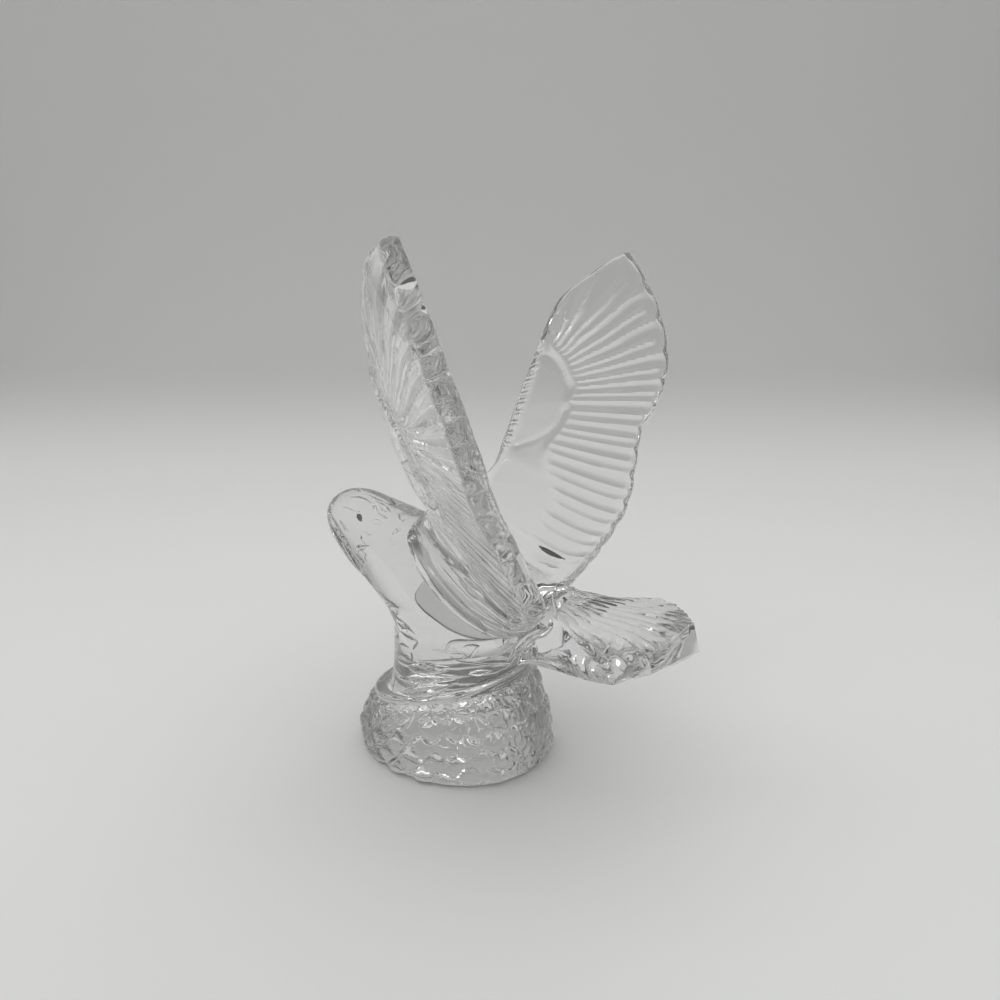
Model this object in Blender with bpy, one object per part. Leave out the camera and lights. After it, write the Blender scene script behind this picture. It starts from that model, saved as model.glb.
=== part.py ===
# Crystal eagle figurine with raised wings, standing on a pebbled rock: one solid piece.
# +X is the eagle's left side, -Y the way it faces, +Z up.
# The origin is the middle of the rock's flat underside, on the plane of symmetry.

import math

import bpy
import bmesh
import numpy as np

for item in list(bpy.data.objects):
    bpy.data.objects.remove(item, do_unlink=True)

MM = 0.001
MERGE_MM = 0.02

# Rock, in millimetres: an oval foot, a sloping rim that the bird rises from, rows of pebbles
FOOT_HALF_WIDTH = 24.5
FOOT_HALF_LENGTH = 28.5
RIM_HALF_WIDTH = 18.0
RIM_FRONT_Y = -27.5
RIM_BACK_Y = 22.5
RIM_FRONT_Z = 16.0
RIM_BACK_Z = 31.0
ROCK_BULGE = 2.6
ROCK_FRONT_BULGE = 1.2
ROCK_BULGE_CURVE = 0.7
PEBBLE_ROWS = 5
PEBBLE_COUNT = 24
PEBBLE_STEPS = 3
PEBBLE_RELIEF = 1.1
COLLAR_WIDTH = 2.2

# Legs and belly as one mass between the rock and the body, in millimetres
LEG_HALF_WIDTH = 16.6
LEG_FRONT_Y = -20.6
LEG_BACK_Y = 20.5
LEG_TOP_Z = 49.0
LEG_TOP_SHRINK = 0.98
LEDGE_SLOPE = 0.8

# Body and head: each row is the station, the upper outline (y, z), the lower outline (y, z),
# the half width and how far up the section is widest; the first row is the hook of the beak
BODY_STATIONS = (
    (0.0, -30.6, 53.4, -29.9, 52.8, 1.0, 0.5),
    (0.7, -33.4, 56.6, -28.9, 52.0, 2.0, 0.5),
    (1.4, -38.2, 61.4, -28.4, 51.3, 3.4, 0.5),
    (2.2, -43.2, 67.2, -27.8, 50.6, 5.6, 0.5),
    (3.0, -43.9, 72.7, -27.0, 49.8, 8.0, 0.52),
    (4.0, -39.8, 77.4, -25.9, 48.7, 9.8, 0.55),
    (5.0, -33.8, 78.9, -24.2, 46.5, 10.7, 0.56),
    (6.2, -25.4, 77.2, -21.2, 43.0, 11.6, 0.55),
    (7.6, -16.0, 74.4, -17.3, 38.6, 13.8, 0.53),
    (9.2, -5.0, 70.8, -14.4, 33.0, 16.0, 0.50),
    (11.0, 7.0, 66.6, -11.0, 27.0, 16.8, 0.50),
    (12.6, 17.0, 63.2, 3.0, 29.5, 16.2, 0.50),
    (13.8, 24.0, 60.4, 15.0, 34.0, 14.6, 0.50),
    (14.8, 28.0, 57.4, 23.0, 37.6, 12.6, 0.50),
    (15.6, 30.4, 54.4, 27.0, 41.0, 10.4, 0.50),
    (16.0, 31.4, 51.0, 29.5, 44.5, 7.0, 0.50),
)
BODY_RINGS = 34
BODY_SIDES = 28
BODY_FULLNESS = 2.25

# Wing: knots of its three free edges and of the edge where it leaves the flank (x, y, z)
FEATHERS = 13
WING_LEADING = (
    (0.0, 15.0, -6.0, 75.7),
    (2.0, 17.5, 0.5, 83.4),
    (5.0, 26.7, 3.4, 93.2),
    (9.0, 37.2, 5.2, 106.4),
    (13.0, 49.1, 7.9, 122.9),
)
WING_OUTER = (
    (0.0, 49.1, 7.9, 122.9),
    (0.35, 57.9, 11.4, 135.4),
    (0.62, 66.9, 17.6, 142.0),
    (0.85, 73.6, 23.6, 147.2),
    (1.0, 76.4, 28.0, 149.4),
)
WING_TRAILING = (
    (0.0, 14.0, 33.1, 54.4),
    (2.0, 26.5, 37.0, 60.5),
    (4.0, 41.0, 41.0, 71.0),
    (6.0, 53.0, 40.6, 86.0),
    (7.0, 58.0, 40.4, 92.3),
    (8.0, 67.6, 42.5, 99.5),
    (9.0, 74.5, 43.5, 106.5),
    (10.0, 78.9, 43.0, 115.5),
    (11.0, 81.2, 39.8, 127.0),
    (12.0, 80.4, 35.4, 137.2),
    (13.0, 76.4, 28.0, 149.4),
)
WING_ROOT = (
    (0.0, 15.0, -6.0, 75.7),
    (0.15, 14.5, -2.4, 65.0),
    (0.35, 14.3, 6.0, 55.6),
    (0.62, 14.2, 17.5, 49.4),
    (0.82, 14.2, 25.3, 49.3),
    (1.0, 14.0, 33.1, 54.4),
)
WING_THICK_ROOT = 7.4
WING_THICK_TIP = 4.4
WING_RIM = 2.2
WING_RIM_CHORD = 0.16
WING_RIM_SPAN = 0.12
WING_FLUTE = 0.9
WING_FLUTE_FROM = 0.38
WING_FLUTE_RISE = 0.1
WING_SCALLOP = 1.1
WING_SCALLOP_FROM = 0.8
WING_END_CURVE = 5
WING_TIP_ROWS = 3
WING_CHORD_STEPS = 9

# Tail: a fan, roof-shaped above, with a keel below and a stepped end. The side edge is given as
# knots, the notch and step as plan points, the anchor as half width, y, top and low
TAIL_SIDE = (
    (0.0, 8.5, 28.0, 55.5),
    (0.35, 11.4, 37.0, 52.2),
    (0.55, 15.0, 42.5, 50.2),
    (0.75, 19.6, 48.0, 49.0),
    (1.0, 26.3, 56.4, 47.6),
)
TAIL_NOTCH_SHARE = 0.67
TAIL_NOTCH = (17.5, 60.2)
TAIL_STEP = (16.8, 62.6)
TAIL_TIP_Y = 70.6
TAIL_FEATHERS = 10
TAIL_FLUTE = 0.8
TAIL_ROOT_LOW = 35.2
TAIL_ROOT_RISE = 2.0
TAIL_ROOF_CURVE = 1.6
TAIL_KEEL_CURVE = 4.6
TAIL_KEEL_EASE = 2.5
TAIL_ANCHOR = (12.0, 10.0, 50.0, 32.5)
TAIL_END_TOP = 54.0
TAIL_END_LOW = 46.3
TAIL_END_SAG = 0.6
TAIL_END_LEAN = 2.2
TAIL_STEPS = 7

# Toes: three lobes on each side, from the ankle forward
TOE_ANKLE = (15.9, 6.5, 30.8)
TOE_TIPS = ((15.6, -7.6, 31.4), (15.0, -9.6, 26.9), (14.4, -10.8, 22.2))
TOE_HALF_WIDTH = 1.9
TOE_BLUNT = 0.04
TOE_SWELL_CURVE = 0.75
TOE_RINGS = 7
TOE_SIDES = 8


def through(knots, at):
    """Smooth curve through knots whose first value is the parameter."""
    table = np.array(knots, float)
    place, value = table[:, 0], table[:, 1:]
    slope = np.gradient(value, place, axis=0)
    at = np.clip(np.asarray(at, float), place[0], place[-1])
    low = np.clip(np.searchsorted(place, at, side="right") - 1, 0, len(place) - 2)
    span = (place[low + 1] - place[low])[..., None]
    t = (at - place[low])[..., None] / span
    return ((2 * t**3 - 3 * t**2 + 1) * value[low] + (t**3 - 2 * t**2 + t) * span * slope[low]
            + (3 * t**2 - 2 * t**3) * value[low + 1] + (t**3 - t**2) * span * slope[low + 1])


def crystal():
    """Clear colourless lead crystal."""
    material = bpy.data.materials.new("clear_crystal")
    material.use_nodes = True
    shader = material.node_tree.nodes["Principled BSDF"]
    shader.inputs["Base Color"].default_value = (0.93, 0.94, 0.95, 1.0)
    shader.inputs["Roughness"].default_value = 0.03
    shader.inputs["Metallic"].default_value = 0.0
    shader.inputs["Transmission Weight"].default_value = 1.0
    shader.inputs["IOR"].default_value = 1.54
    return material


def solid_from_rings(name, rings, paired_ends=False):
    """Closed solid through rings of points in millimetres, its two ends closed flat.

    With paired ends, point i of an end ring faces point n - 1 - i across a thin slab."""
    mesh = bmesh.new()
    grid = [[mesh.verts.new(point * MM) for point in ring] for ring in rings]
    count = len(grid[0])
    for lower, upper in zip(grid, grid[1:]):
        for i in range(count):
            j = (i + 1) % count
            mesh.faces.new((lower[i], lower[j], upper[j], upper[i]))
    for ring in (grid[0], grid[-1]):
        if paired_ends:
            for i in range(count // 2 - 1):
                mesh.faces.new((ring[i], ring[i + 1], ring[count - 2 - i], ring[count - 1 - i]))
        else:
            mesh.faces.new(ring)
    bmesh.ops.remove_doubles(mesh, verts=mesh.verts, dist=MERGE_MM * MM)
    bmesh.ops.triangulate(mesh, faces=mesh.faces)
    bmesh.ops.recalc_face_normals(mesh, faces=mesh.faces)
    data = bpy.data.meshes.new(name)
    mesh.to_mesh(data)
    mesh.free()
    shape = bpy.data.objects.new(name, data)
    bpy.context.scene.collection.objects.link(shape)
    return shape


def full_oval(angle, fullness):
    """Unit oval: a circle for fullness 2, squarer above that."""
    across = np.sign(np.cos(angle)) * np.abs(np.cos(angle)) ** (2 / fullness)
    along = np.sign(np.sin(angle)) * np.abs(np.sin(angle)) ** (2 / fullness)
    return across, along


def body_and_head():
    """Rings hung between the back outline and the breast outline, from the beak to the rump."""
    angle = np.linspace(0, 2 * math.pi, BODY_SIDES, endpoint=False)
    across, along = full_oval(angle, BODY_FULLNESS)
    rings = []
    for station in np.linspace(0, BODY_STATIONS[-1][0], BODY_RINGS):
        up_y, up_z, low_y, low_z, half_width, widest = through(BODY_STATIONS, station)
        upper, lower = np.array((up_y, up_z)), np.array((low_y, low_z))
        middle = lower + widest * (upper - lower)
        reach = np.where(along[:, None] > 0, upper - middle, middle - lower)
        profile = middle + along[:, None] * reach
        rings.append(np.column_stack((half_width * across, profile)))
    return solid_from_rings("body", rings)


def oval_plan(outward, half_width, front, back):
    """Oval with the given half width, from the front to the back on the plane of symmetry."""
    centre, half_length = (front + back) / 2, (back - front) / 2
    return outward * (half_width, half_length) + (0, centre)


def rim_height(y):
    """The rock's rim climbs evenly from the front to the back."""
    share = np.clip((y - RIM_FRONT_Y) / (RIM_BACK_Y - RIM_FRONT_Y), 0, 1)
    return RIM_FRONT_Z + (RIM_BACK_Z - RIM_FRONT_Z) * share


def rock():
    """Oval rock with staggered pebbles, then a smooth collar and the mass of the legs."""
    columns, rows = PEBBLE_STEPS * PEBBLE_COUNT, PEBBLE_STEPS * PEBBLE_ROWS
    angle = np.linspace(0, 2 * math.pi, columns, endpoint=False)
    outward = np.column_stack((np.cos(angle), np.sin(angle)))
    foot = oval_plan(outward, FOOT_HALF_WIDTH, -FOOT_HALF_LENGTH, FOOT_HALF_LENGTH)
    rim = oval_plan(outward, RIM_HALF_WIDTH, RIM_FRONT_Y, RIM_BACK_Y)
    leg = oval_plan(outward, LEG_HALF_WIDTH, LEG_FRONT_Y, LEG_BACK_Y)
    shoulder = rim + outward * COLLAR_WIDTH / 2
    rim_z = rim_height(rim[:, 1])
    fullest = ROCK_BULGE + ROCK_FRONT_BULGE * np.clip(-outward[:, 1], 0, 1)
    rings = []
    for row in range(rows + 1):
        climb = row / rows
        band, across_band = divmod(row, PEBBLE_STEPS)
        stagger = 0.5 * (band % 2)
        crown = np.sin(math.pi * (PEBBLE_COUNT * angle / (2 * math.pi) + stagger)) ** 2
        pebble = PEBBLE_RELIEF * crown * math.sin(math.pi * across_band / PEBBLE_STEPS)
        reach = fullest * math.sin(math.pi * climb**ROCK_BULGE_CURVE) + pebble
        plan = foot + (shoulder - foot) * climb + outward * reach[:, None]
        rings.append(np.column_stack((plan, (rim_z - COLLAR_WIDTH) * climb)))
    rings.append(np.column_stack((rim, rim_z)))
    ledge_z = rim_z + LEDGE_SLOPE * np.linalg.norm(rim - leg, axis=1)
    rings.append(np.column_stack((leg, ledge_z)))
    rings.append(np.column_stack((leg * LEG_TOP_SHRINK, np.full(columns, LEG_TOP_Z))))
    return solid_from_rings("rock", rings)


def wing_surface(chord, row):
    """Middle surface of the left wing: rows follow the feathers, chord runs 0 ahead to 1 behind."""
    share = row / FEATHERS
    ahead = through(WING_LEADING, row)
    behind = through(WING_TRAILING, row)
    flat = ahead + (behind - ahead) * chord[..., None]
    root_line = np.array(WING_LEADING[0][1:]) * (1 - chord[..., None]) \
        + np.array(WING_TRAILING[0][1:]) * chord[..., None]
    root_sag = through(WING_ROOT, chord) - root_line
    tip_line = np.array(WING_LEADING[-1][1:]) * (1 - chord[..., None]) \
        + np.array(WING_TRAILING[-1][1:]) * chord[..., None]
    tip_rise = through(WING_OUTER, chord) - tip_line
    near_root, near_tip = (1 - share) ** WING_END_CURVE, share**WING_END_CURVE
    return flat + root_sag * near_root[..., None] + tip_rise * near_tip[..., None]


def wing():
    """Left wing: a slab that thins to its rims, with a rounded flute for each feather."""
    chord = np.linspace(0, 1, WING_CHORD_STEPS)
    rows = np.linspace(0, FEATHERS, 2 * FEATHERS + 1)
    row_grid, chord_grid = np.meshgrid(rows, chord, indexing="ij")
    middle = wing_surface(chord_grid, row_grid)
    full_rows = np.minimum(rows, FEATHERS - WING_TIP_ROWS)
    chord_line = through(WING_TRAILING, full_rows) - through(WING_LEADING, full_rows)
    span_line = np.array(WING_OUTER[-1][1:]) - through(WING_ROOT, 0.5)
    normal = np.cross(chord_line, span_line)
    normal = (normal / np.linalg.norm(normal, axis=1)[:, None])[:, None, :]
    share = row_grid / FEATHERS
    crest = np.abs(np.sin(math.pi * row_grid))
    from_rim = np.minimum(np.minimum(chord_grid, 1 - chord_grid) / WING_RIM_CHORD,
                          (1 - share) / WING_RIM_SPAN)
    fill = np.sin(np.clip(from_rim, 0, 1) * math.pi / 2)
    thickness = WING_THICK_ROOT + (WING_THICK_TIP - WING_THICK_ROOT) * share
    fluted = np.clip((chord_grid - WING_FLUTE_FROM) / WING_FLUTE_RISE, 0, 1)
    flute = WING_FLUTE * (crest - 0.5) * fluted
    half = (WING_RIM + (thickness - WING_RIM) * fill) / 2 + flute * fill
    trail = middle[:, -1:] - middle[:, -2:-1]
    trail /= np.linalg.norm(trail, axis=2)[..., None]
    scalloped = np.clip((chord_grid - WING_SCALLOP_FROM) / (1 - WING_SCALLOP_FROM), 0, 1)
    scallop = WING_SCALLOP * (crest - 0.5) * scalloped
    middle = middle + trail * scallop[..., None]
    outer = middle + normal * half[..., None]
    inner = middle - normal * half[..., None]
    rings = np.concatenate((outer, inner[:, ::-1]), axis=1)
    return solid_from_rings("wing_left", rings, paired_ends=True)


def tail_plan(across):
    """Plan of the tail's end: corner, slanted side feathers, notch, then the longer middle ones."""
    reach = np.abs(across)
    side = np.clip((1 - reach) / (1 - TAIL_NOTCH_SHARE), 0, 1)
    middle = np.clip(1 - reach / TAIL_NOTCH_SHARE, 0, 1)
    on_side = reach > TAIL_NOTCH_SHARE
    x = np.where(on_side, TAIL_SIDE[-1][1] + (TAIL_NOTCH[0] - TAIL_SIDE[-1][1]) * side,
                 TAIL_STEP[0] * (1 - middle))
    y = np.where(on_side, TAIL_SIDE[-1][2] + (TAIL_NOTCH[1] - TAIL_SIDE[-1][2]) * side,
                 TAIL_STEP[1] + (TAIL_TIP_Y - TAIL_STEP[1]) * middle)
    return x * np.sign(across), y


def tail():
    """Fan of feathers, roof-shaped above and keeled below, thick in the middle of its end."""
    across = np.linspace(-1, 1, 2 * TAIL_FEATHERS + 1)
    edge = np.abs(across)
    crest = (np.arange(len(across)) % 2) - 0.5
    root_half, root_y, root_top = TAIL_SIDE[0][1:]
    corner_x, corner_y, corner_top = TAIL_SIDE[-1][1:]
    end_x, end_y = tail_plan(across)
    end_top = TAIL_END_TOP - (TAIL_END_TOP - corner_top) * edge**TAIL_ROOF_CURVE
    low_root = TAIL_ROOT_LOW + TAIL_ROOT_RISE * edge**2
    low_end = TAIL_END_LOW - TAIL_END_SAG * np.sin(math.pi * edge**2)
    anchor_half, anchor_y, anchor_top, anchor_low = TAIL_ANCHOR
    anchor_x, anchor_back = anchor_half * across, np.full(len(across), anchor_y)
    anchor_upper = np.column_stack((anchor_x, anchor_back, np.full(len(across), anchor_top)))
    anchor_under = np.column_stack((anchor_x, anchor_back, np.full(len(across), anchor_low)))
    rings = [np.concatenate((anchor_upper, anchor_under[::-1]))]
    for share in np.linspace(0, 1, TAIL_STEPS + 1):
        straight = np.array((root_half + (corner_x - root_half) * share,
                             root_y + (corner_y - root_y) * share,
                             root_top + (corner_top - root_top) * share))
        bend = (through(TAIL_SIDE, share) - straight) * (edge**2)[:, None]
        x = root_half * across + (end_x - root_half * across) * share + bend[:, 0] * np.sign(across)
        y = root_y + (end_y - root_y) * share + bend[:, 1]
        top = root_top + (end_top - root_top) * share + bend[:, 2]
        top += TAIL_FLUTE * crest * min(1.0, 2 * share)
        keel = share ** (TAIL_KEEL_CURVE - TAIL_KEEL_EASE * edge)
        low = low_root + (low_end - low_root) * keel
        upper = np.column_stack((x, y, top))
        under = np.column_stack((x, y + TAIL_END_LEAN * share * (1 - edge), low))
        rings.append(np.concatenate((upper, under[::-1])))
    return solid_from_rings("tail", rings, paired_ends=True)


def toe(tip):
    """One long lobe from the ankle to its rounded tip."""
    ankle, end = np.array(TOE_ANKLE), np.array(tip)
    way = end - ankle
    length = np.linalg.norm(way)
    way /= length
    out = np.array((1.0, 0.0, 0.0))
    up = np.cross(way, out)
    up /= np.linalg.norm(up)
    out = np.cross(up, way)
    rings = []
    angle = np.linspace(0, 2 * math.pi, TOE_SIDES, endpoint=False)
    for share in np.linspace(0, 1, TOE_RINGS):
        swell = math.sin(math.pi * (TOE_BLUNT + (1 - 2 * TOE_BLUNT) * share**TOE_SWELL_CURVE))
        centre = ankle + way * length * share
        rings.append(centre + TOE_HALF_WIDTH * swell * (np.outer(np.cos(angle), out)
                                                       + np.outer(np.sin(angle), up)))
    return solid_from_rings("toe", rings)


def mirrored(shape):
    """The same sub-shape on the eagle's right side."""
    data = shape.data.copy()
    for vertex in data.vertices:
        vertex.co.x = -vertex.co.x
    data.flip_normals()
    twin = bpy.data.objects.new(shape.name + "_right", data)
    bpy.context.scene.collection.objects.link(twin)
    return twin


def fuse(base, others, name):
    """Boolean union of all the forms into the one cast piece."""
    for other in others:
        union = base.modifiers.new(other.name, "BOOLEAN")
        union.operation = "UNION"
        union.object = other
        other.hide_render = True
        other.display_type = "WIRE"
    base.name = name
    base.data.name = name
    base.data.materials.append(crystal())


def build():
    left_wing = wing()
    toes = [toe(tip) for tip in TOE_TIPS]
    others = [rock(), tail(), left_wing, mirrored(left_wing)]
    others += toes + [mirrored(one) for one in toes]
    fuse(body_and_head(), others, "eagle_figurine")


build()
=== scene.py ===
# Crystal eagle with raised wings on a pebbled rock, in a small photo sweep.
import math
import random

import bpy
import numpy as np
from mathutils import Euler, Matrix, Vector, kdtree
from mathutils.bvhtree import BVHTree


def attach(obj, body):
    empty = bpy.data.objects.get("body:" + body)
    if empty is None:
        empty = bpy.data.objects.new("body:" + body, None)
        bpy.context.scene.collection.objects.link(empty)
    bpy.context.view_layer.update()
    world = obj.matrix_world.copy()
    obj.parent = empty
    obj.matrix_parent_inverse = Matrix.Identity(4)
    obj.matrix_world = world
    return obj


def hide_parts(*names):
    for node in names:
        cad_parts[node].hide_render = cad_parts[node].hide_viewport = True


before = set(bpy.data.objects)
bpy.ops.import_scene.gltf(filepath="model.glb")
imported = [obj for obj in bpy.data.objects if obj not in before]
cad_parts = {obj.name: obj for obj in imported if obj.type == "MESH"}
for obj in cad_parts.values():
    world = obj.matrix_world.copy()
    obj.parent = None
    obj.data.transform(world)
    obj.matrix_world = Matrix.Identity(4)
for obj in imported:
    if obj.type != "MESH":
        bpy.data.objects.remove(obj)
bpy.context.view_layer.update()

mm = 0.001
fullTurn = 2 * math.pi
mergeReach = 0.005 * mm
print("frame loaded")

view = {  # where the photograph was taken from
    "place": (0.187, 0.096, 0.1445),
    "tilt": 72.8,
    "turn": 113.6,
    "lens": 27.04,
    "sensor": 36.0,
    "pixels": 1000,
    "nearest": 0.01,
}

satinShadeCuts = []  # surfaces that are left satin and darkened with painted shade, and how satin they are


# small helpers for shapes, all in millimetres until a piece is made

def curveThrough(knots, at):
    # smooth curve through knots whose first value is the parameter
    table = np.array(knots, float)
    place, value = table[:, 0], table[:, 1:]
    slope = np.gradient(value, place, axis=0)
    at = np.clip(np.asarray(at, float), place[0], place[-1])
    low = np.clip(np.searchsorted(place, at, side="right") - 1, 0, len(place) - 2)
    span = (place[low + 1] - place[low])[..., None]
    t = (at - place[low])[..., None] / span
    return ((2 * t**3 - 3 * t**2 + 1) * value[low] + (t**3 - 2 * t**2 + t) * span * slope[low]
            + (3 * t**2 - 2 * t**3) * value[low + 1] + (t**3 - t**2) * span * slope[low + 1])


def fade(value, start, end):
    # 0 at start, 1 at end, smooth between
    t = np.clip((value - start) / (end - start), 0, 1)
    return t * t * (3 - 2 * t)


def fadeOut(value, start, end):
    # 1 at start, 0 at end, smooth between
    return fade(-value, -end, -start)


def bump(value, centre, width):
    # 1 at the centre, falling to nothing on both sides
    return np.exp(-((value - centre) / width) ** 2)


def rounded(distance, radius):
    # quarter circle: 0 at the edge, 1 from one radius in
    t = 1 - np.clip(distance / radius, 0, 1)
    return np.sqrt(np.clip(1 - t * t, 0, 1))


def unit(vectors):
    return vectors / np.maximum(np.linalg.norm(vectors, axis=-1, keepdims=True), 1e-9)


def steps(points, axis):
    # length of one step of the lattice along an axis
    return np.linalg.norm(np.gradient(points, axis=axis), axis=-1)


def latticePiece(name, points):
    # a grid primitive whose vertices take their places from the lattice, closed and turned outwards
    rows, columns = points.shape[0] - 1, points.shape[1] - 1
    bpy.ops.object.select_all(action="DESELECT")
    bpy.ops.mesh.primitive_grid_add(x_subdivisions=columns, y_subdivisions=rows, size=1)
    piece = bpy.context.object
    piece.name = piece.data.name = name
    flat = np.empty(3 * len(piece.data.vertices), np.float32)
    piece.data.vertices.foreach_get("co", flat)
    flat = flat.reshape(-1, 3)
    column = np.rint((flat[:, 0] + 0.5) * columns).astype(int)
    row = np.rint((flat[:, 1] + 0.5) * rows).astype(int)
    flat[:] = points[row, column] * mm
    piece.data.vertices.foreach_set("co", flat.ravel())
    bpy.ops.object.mode_set(mode="EDIT")
    bpy.ops.mesh.select_all(action="SELECT")
    bpy.ops.mesh.remove_doubles(threshold=mergeReach)
    bpy.ops.mesh.select_all(action="SELECT")
    bpy.ops.mesh.fill_holes(sides=0)
    bpy.ops.mesh.quads_convert_to_tris(quad_method="BEAUTY", ngon_method="BEAUTY")
    bpy.ops.mesh.normals_make_consistent(inside=False)
    bpy.ops.object.mode_set(mode="OBJECT")
    return piece


def otherSide(piece):
    # the same form on the eagle's right
    bpy.ops.object.select_all(action="DESELECT")
    piece.select_set(True)
    bpy.context.view_layer.objects.active = piece
    bpy.ops.object.duplicate()
    twin = bpy.context.object
    twin.scale = (-1, 1, 1)
    bpy.ops.object.transform_apply(location=False, rotation=False, scale=True)
    bpy.ops.object.mode_set(mode="EDIT")
    bpy.ops.mesh.select_all(action="SELECT")
    bpy.ops.mesh.normals_make_consistent(inside=False)
    bpy.ops.object.mode_set(mode="OBJECT")
    return twin


def melt(base, others, way="UNION"):
    # one closed solid out of all the forms, or the base with the others cut out of it
    for other in others:
        joining = base.modifiers.new("joining", "BOOLEAN")
        joining.operation = way
        joining.solver = "MANIFOLD"
        joining.object = other
        bpy.ops.object.select_all(action="DESELECT")
        bpy.context.view_layer.objects.active = base
        base.select_set(True)
        bpy.ops.object.modifier_apply(modifier=joining.name)
        bpy.data.objects.remove(other, do_unlink=True)
    return base


# the body and the head, rings hung between the back outline and the breast outline

body = {
    "stations": (  # station, upper outline y z, lower outline y z, half width, widest share
        (0.0, -30.6, 53.4, -29.9, 52.8, 1.0, 0.5),
        (0.7, -33.4, 56.6, -28.9, 52.0, 2.0, 0.5),
        (1.4, -38.2, 61.4, -28.4, 51.3, 3.4, 0.5),
        (2.2, -43.2, 67.2, -27.8, 50.6, 5.6, 0.5),
        (3.0, -43.7, 72.7, -27.0, 49.8, 8.0, 0.52),
        (4.0, -39.8, 77.4, -25.9, 48.7, 9.8, 0.55),
        (5.0, -33.8, 78.9, -24.2, 46.5, 10.7, 0.56),
        (6.2, -25.4, 77.2, -21.2, 43.0, 11.6, 0.55),
        (7.6, -16.0, 74.4, -17.3, 38.6, 13.8, 0.53),
        (9.2, -5.0, 70.8, -14.4, 33.0, 16.0, 0.50),
        (11.0, 7.0, 66.6, -11.0, 27.0, 16.8, 0.50),
        (12.6, 17.0, 63.2, 3.0, 29.5, 16.2, 0.50),
        (13.8, 24.0, 60.4, 15.0, 34.0, 14.6, 0.50),
        (14.8, 28.0, 57.6, 23.0, 37.6, 12.4, 0.50),
        (15.4, 31.5, 56.9, 27.0, 40.6, 11.8, 0.50),
        (15.8, 34.4, 56.3, 30.6, 43.6, 11.4, 0.50),
        (15.95, 35.8, 55.7, 33.4, 45.4, 10.9, 0.50),
        (16.0, 36.3, 54.4, 35.0, 47.0, 9.6, 0.50),
    ),
    "rows": 120,
    "columns": 88,
    "fullness": 2.25,
}


def makeBody():
    station = np.linspace(0, body["stations"][-1][0], body["rows"] + 1)
    angle = np.linspace(-math.pi / 2, 1.5 * math.pi, body["columns"] + 1)
    power = 2 / body["fullness"]
    across = np.sign(np.cos(angle)) * np.abs(np.cos(angle)) ** power
    upward = np.sign(np.sin(angle)) * np.abs(np.sin(angle)) ** power
    hung = curveThrough(body["stations"], station)
    upper, lower = hung[:, None, 0:2], hung[:, None, 2:4]
    halfWidth, widest = hung[:, None, 4], hung[:, None, 5:6]
    middle = lower + widest * (upper - lower)
    reach = np.where(upward[None, :, None] > 0, upper - middle, middle - lower)
    profile = middle + upward[None, :, None] * reach
    points = np.concatenate(((halfWidth * across)[..., None], profile), axis=2)
    return latticePiece("body", points)


# the rock, its collar and the mass of the legs above it

rock = {
    "footHalfWidth": 24.5,
    "footHalfLength": 28.5,
    "rimHalfWidth": 18.0,
    "rimFrontY": -27.5,
    "rimBackY": 22.5,
    "rimFrontZ": 16.0,
    "rimBackZ": 31.0,
    "bulge": 1.9,
    "frontBulge": 1.2,
    "bulgeCurve": 0.7,
    "collar": 2.2,
    "skirtCurve": 2.6,
    "legHalfWidth": 16.6,
    "legFrontY": -20.6,
    "legBackY": 20.5,
    "legTopZ": 49.0,
    "legTopShrink": 0.98,
    "pebbleRows": 5,
    "pebblesAround": 24,
    "pebbleRelief": 1.6,
    "hiddenShare": 0.42,
    "seenFrom": (-0.45, 0.05),
    "pebbleShift": 0.2,
    "pebbleCurve": 2.1,
    "pebbleUneven": 0.3,
    "footFade": 0.06,
    "rimFade": 0.05,
    "footShares": (0.0, 0.5, 0.985),
    "collarSteps": 5,
    "skirtSteps": 15,
    "topShares": (0.5, 0.0),
    "columns": 228,
    "sideRows": 48,
    "seed": 5,
}


def ovalPlan(outward, halfWidth, front, back):
    return outward * (halfWidth, (back - front) / 2) + (0, (front + back) / 2)


def rockSide(climb, angle):
    # bare flank of the rock, from its foot at climb 0 to its rim at climb 1
    outward = np.stack((np.cos(angle), np.sin(angle)), axis=-1)
    foot = ovalPlan(outward, rock["footHalfWidth"], -rock["footHalfLength"], rock["footHalfLength"])
    rim = ovalPlan(outward, rock["rimHalfWidth"], rock["rimFrontY"], rock["rimBackY"])
    rimShare = np.clip((rim[..., 1] - rock["rimFrontY"]) / (rock["rimBackY"] - rock["rimFrontY"]), 0, 1)
    rimZ = rock["rimFrontZ"] + (rock["rimBackZ"] - rock["rimFrontZ"]) * rimShare
    shoulder = rim + outward * rock["collar"] / 2
    fullest = rock["bulge"] + rock["frontBulge"] * np.clip(-outward[..., 1], 0, 1)
    swell = fullest * np.sin(math.pi * climb ** rock["bulgeCurve"])
    plan = foot + (shoulder - foot) * climb[..., None] + outward * swell[..., None]
    return np.concatenate((plan, ((rimZ - rock["collar"]) * climb)[..., None]), axis=-1), rim, rimZ, outward


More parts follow.
